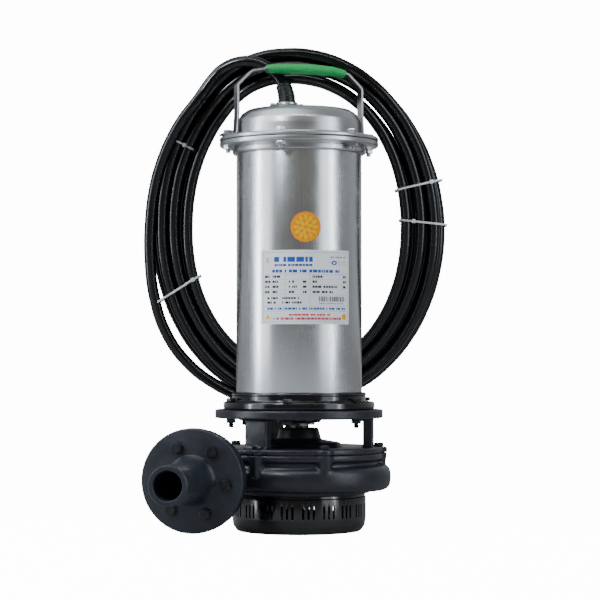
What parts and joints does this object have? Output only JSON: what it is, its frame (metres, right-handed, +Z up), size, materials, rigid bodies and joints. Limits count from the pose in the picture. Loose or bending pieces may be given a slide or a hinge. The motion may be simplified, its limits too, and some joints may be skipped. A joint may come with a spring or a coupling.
{
  "type": "submersible sump pump",
  "caption": "Submersible sump pump with a slotted strainer foot, spiral casing, flanged discharge nipple, lantern bracket, tubular motor body, carrying handle and coiled cable.",
  "frame": {"origin": "centre of the strainer foot's flat underside, on the shaft axis", "axes": "+Z up along the shaft axis, -Y towards the front with the rating label, +X to the right seen from the front"},
  "size_m": [0.478, 0.4351, 0.7506],
  "materials": {
    "gloss_black": "gloss black paint on cast iron",
    "black_casting": "semi-gloss black paint over a slightly rough casting",
    "black_bolt": "black painted steel fastener",
    "bright_bolt": "bright stainless fastener",
    "black_rubber": "black rubber",
    "cable_rubber": "glossy black rubber cable sheath",
    "tube_steel": "drawn stainless tube, fine vertical satin",
    "satin_steel": "satin stainless",
    "green_rubber": "textured green rubber",
    "label_film": "printed plastic film",
    "sticker_film": "printed plastic film",
    "machined_steel": "machined steel",
    "copper_wire": "varnished copper wire",
    "bronze": "cast bronze"
  },
  "bodies": {
    "pump_body": {"strainer_bowl": "gloss_black", "strainer_screw_1": "black_bolt", "strainer_screw_2": "black_bolt", "strainer_screw_3": "black_bolt", "volute_casing": "black_casting", "discharge_gasket": "black_rubber", "discharge_nozzle": "black_casting", "discharge_bolt_1": "black_bolt", "discharge_bolt_2": "black_bolt", "discharge_bolt_3": "black_bolt", "discharge_bolt_4": "black_bolt", "discharge_bolt_5": "black_bolt", "discharge_bolt_6": "black_bolt", "lantern_bracket": "black_casting", "cover_bolt_1": "black_bolt", "cover_bolt_2": "black_bolt", "cover_bolt_3": "black_bolt", "cover_bolt_4": "black_bolt", "cover_bolt_5": "black_bolt", "lower_housing": "gloss_black", "seal_cover": "black_casting", "seal_bolt_1": "bright_bolt", "seal_bolt_2": "bright_bolt", "seal_bolt_3": "bright_bolt", "seal_bolt_4": "bright_bolt", "motor_bolt_1": "black_bolt", "motor_bolt_2": "black_bolt", "motor_bolt_3": "black_bolt", "motor_bolt_4": "black_bolt", "motor_bolt_5": "black_bolt", "motor_bolt_6": "black_bolt", "motor_tube": "tube_steel", "upper_bracket": "satin_steel", "cap_gasket": "black_rubber", "top_cap": "satin_steel", "cap_bolt_1": "bright_bolt", "cap_bolt_2": "bright_bolt", "cap_bolt_3": "bright_bolt", "cap_bolt_4": "bright_bolt", "cap_bolt_5": "bright_bolt", "cap_bolt_6": "bright_bolt", "handle_strap": "satin_steel", "handle_grip": "green_rubber", "gland_plate": "satin_steel", "gland_screw_1": "bright_bolt", "gland_screw_2": "bright_bolt", "gland_boot": "black_rubber", "cable_lead": "cable_rubber", "cable_coil": "cable_rubber", "rating_label": "label_film", "round_sticker": "sticker_film", "stator_core": "machined_steel", "stator_winding": "copper_wire", "lower_bearing": "machined_steel", "upper_bearing": "machined_steel"},
    "rotor": {"rotor_shaft": "machined_steel", "rotor_core": "machined_steel", "mechanical_seal": "machined_steel", "impeller": "bronze", "impeller_nut": "bright_bolt"}
  },
  "joints": [
    {"name": "rotor_spin", "type": "hinge", "parent": "pump_body", "child": "rotor", "pos_m": [0, 0, 0.3], "axis": [0, 0, 1], "continuous": true}
  ]
}
